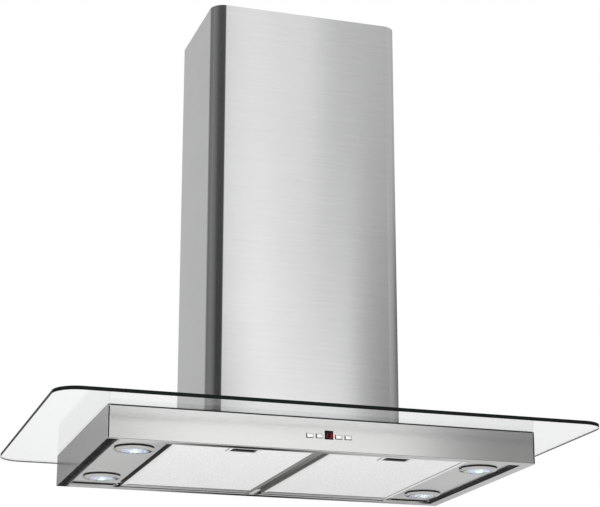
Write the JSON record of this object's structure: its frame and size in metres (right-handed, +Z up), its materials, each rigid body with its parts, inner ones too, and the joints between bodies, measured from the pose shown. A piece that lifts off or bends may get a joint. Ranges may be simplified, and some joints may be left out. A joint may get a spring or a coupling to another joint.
{
  "type": "island range hood",
  "caption": "Island range hood: flat glass sheet on a shallow brushed-steel canopy under a box chimney, with mesh filters, spot lamps and push buttons.",
  "frame": {"origin": "centre of the canopy's underside", "axes": "+X to the right as seen from the control panel, +Y away from the control panel, +Z up the chimney"},
  "size_m": [0.9, 0.6, 0.806],
  "materials": {
    "brushed_steel": "brushed with an upright grain",
    "galvanised_steel": "zinc coated sheet, dull",
    "clear_glass": "clear toughened glass with dark ground edges",
    "lamp_glass": "clear glass disc with a dimpled inner face",
    "satin_metal": "satin",
    "filter_aluminium": "anodised mesh and frame",
    "black_plastic": "fine texture",
    "fan_plastic": "moulded",
    "rubber_seal": "matte",
    "motor_metal": "painted",
    "plated_steel": "zinc plated",
    "reflector": "faceted bright reflector",
    "lamp_ceramic": "unglazed",
    "display_black": "gloss window",
    "display_block": "red segment display",
    "circuit_board": "solder mask",
    "wire_sheath": "grey sheath"
  },
  "bodies": {
    "ceiling_mount": {"ceiling_plate": "galvanised_steel", "upper_uprights": "galvanised_steel", "upper_chimney_cover": "brushed_steel"},
    "hood": {"blower_box": "galvanised_steel", "blower_casing_left": "fan_plastic", "blower_casing_right": "fan_plastic", "cable_gland": "black_plastic", "canopy_shell": "brushed_steel", "centre_bar": "brushed_steel", "chimney_cover": "brushed_steel", "chimney_rear_cover": "brushed_steel", "control_board": "circuit_board", "control_carrier": "black_plastic", "deck_plate": "galvanised_steel", "display_module": "display_block", "display_window": "display_black", "electronics_box": "black_plastic", "flap_spindle": "plated_steel", "front_fascia": "brushed_steel", "glass_gaskets": "rubber_seal", "glass_panel": "clear_glass", "hex_bolts": "plated_steel", "inlet_ring": "galvanised_steel", "lamp_bulbs": "lamp_ceramic", "lamp_cups": "galvanised_steel", "lamp_panel_left": "brushed_steel", "lamp_panel_right": "brushed_steel", "lamp_reflectors": "reflector", "lighting_transformer": "motor_metal", "lower_frame": "galvanised_steel", "main_board": "circuit_board", "motor": "motor_metal", "motor_bracket": "galvanised_steel", "motor_capacitor": "motor_metal", "outlet_collar": "fan_plastic", "screws": "plated_steel", "terminal_block": "black_plastic", "wiring": "wire_sheath"},
    "fan": {"impeller": "fan_plastic", "motor_shaft": "plated_steel"},
    "flap_front": {"check_flap_front": "fan_plastic"},
    "flap_rear": {"check_flap_rear": "fan_plastic"},
    "filter_left": {"filter_frame_left": "filter_aluminium", "filter_mesh_left": "filter_aluminium"},
    "filter_right": {"filter_frame_right": "filter_aluminium", "filter_mesh_right": "filter_aluminium"},
    "latch_left": {"filter_latch_left": "black_plastic"},
    "latch_right": {"filter_latch_right": "black_plastic"},
    "button_1": {"button_1": "satin_metal"},
    "button_2": {"button_2": "satin_metal"},
    "button_3": {"button_3": "satin_metal"},
    "button_4": {"button_4": "satin_metal"},
    "lamp_cover_front_left": {"lamp_ring_front_left": "satin_metal", "lamp_lens_front_left": "lamp_glass"},
    "lamp_cover_front_right": {"lamp_ring_front_right": "satin_metal", "lamp_lens_front_right": "lamp_glass"},
    "lamp_cover_rear_left": {"lamp_ring_rear_left": "satin_metal", "lamp_lens_rear_left": "lamp_glass"},
    "lamp_cover_rear_right": {"lamp_ring_rear_right": "satin_metal", "lamp_lens_rear_right": "lamp_glass"}
  },
  "joints": [
    {"name": "hood_height", "type": "slide", "parent": "ceiling_mount", "child": "hood", "axis": [0, 0, -1], "range_m": [0, 0.3]},
    {"name": "fan_spin", "type": "hinge", "parent": "hood", "child": "fan", "pos_m": [0, 0, 0.16], "axis": [1, 0, 0], "continuous": true},
    {"name": "flap_front_swing", "type": "hinge", "parent": "hood", "child": "flap_front", "pos_m": [0, 0, 0.325], "axis": [-1, 0, 0], "range_deg": [0, 75]},
    {"name": "flap_rear_swing", "type": "hinge", "parent": "hood", "child": "flap_rear", "pos_m": [0, 0, 0.325], "axis": [1, 0, 0], "range_deg": [0, 75]},
    {"name": "filter_left_swing", "type": "hinge", "parent": "hood", "child": "filter_left", "pos_m": [-0.128, 0.19, 0.0087], "axis": [1, 0, 0], "range_deg": [0, 85]},
    {"name": "latch_left_slide", "type": "slide", "parent": "filter_left", "child": "latch_left", "axis": [0, 1, 0], "range_m": [0, 0.005], "stiffness_N_per_m": 300, "springref_m": -0.005},
    {"name": "filter_right_swing", "type": "hinge", "parent": "hood", "child": "filter_right", "pos_m": [0.128, 0.19, 0.0087], "axis": [1, 0, 0], "range_deg": [0, 85]},
    {"name": "latch_right_slide", "type": "slide", "parent": "filter_right", "child": "latch_right", "axis": [0, 1, 0], "range_m": [0, 0.005], "stiffness_N_per_m": 300, "springref_m": -0.005},
    {"name": "button_1_press", "type": "slide", "parent": "hood", "child": "button_1", "axis": [0, 1, 0], "range_m": [0, 0.001], "stiffness_N_per_m": 300, "springref_m": -0.002},
    {"name": "button_2_press", "type": "slide", "parent": "hood", "child": "button_2", "axis": [0, 1, 0], "range_m": [0, 0.001], "stiffness_N_per_m": 300, "springref_m": -0.002},
    {"name": "button_3_press", "type": "slide", "parent": "hood", "child": "button_3", "axis": [0, 1, 0], "range_m": [0, 0.001], "stiffness_N_per_m": 300, "springref_m": -0.002},
    {"name": "button_4_press", "type": "slide", "parent": "hood", "child": "button_4", "axis": [0, 1, 0], "range_m": [0, 0.001], "stiffness_N_per_m": 300, "springref_m": -0.002},
    {"name": "lamp_cover_front_left_pull", "type": "slide", "parent": "hood", "child": "lamp_cover_front_left", "axis": [0, 0, -1], "range_m": [0, 0.02]},
    {"name": "lamp_cover_front_right_pull", "type": "slide", "parent": "hood", "child": "lamp_cover_front_right", "axis": [0, 0, -1], "range_m": [0, 0.02]},
    {"name": "lamp_cover_rear_left_pull", "type": "slide", "parent": "hood", "child": "lamp_cover_rear_left", "axis": [0, 0, -1], "range_m": [0, 0.02]},
    {"name": "lamp_cover_rear_right_pull", "type": "slide", "parent": "hood", "child": "lamp_cover_rear_right", "axis": [0, 0, -1], "range_m": [0, 0.02]}
  ]
}
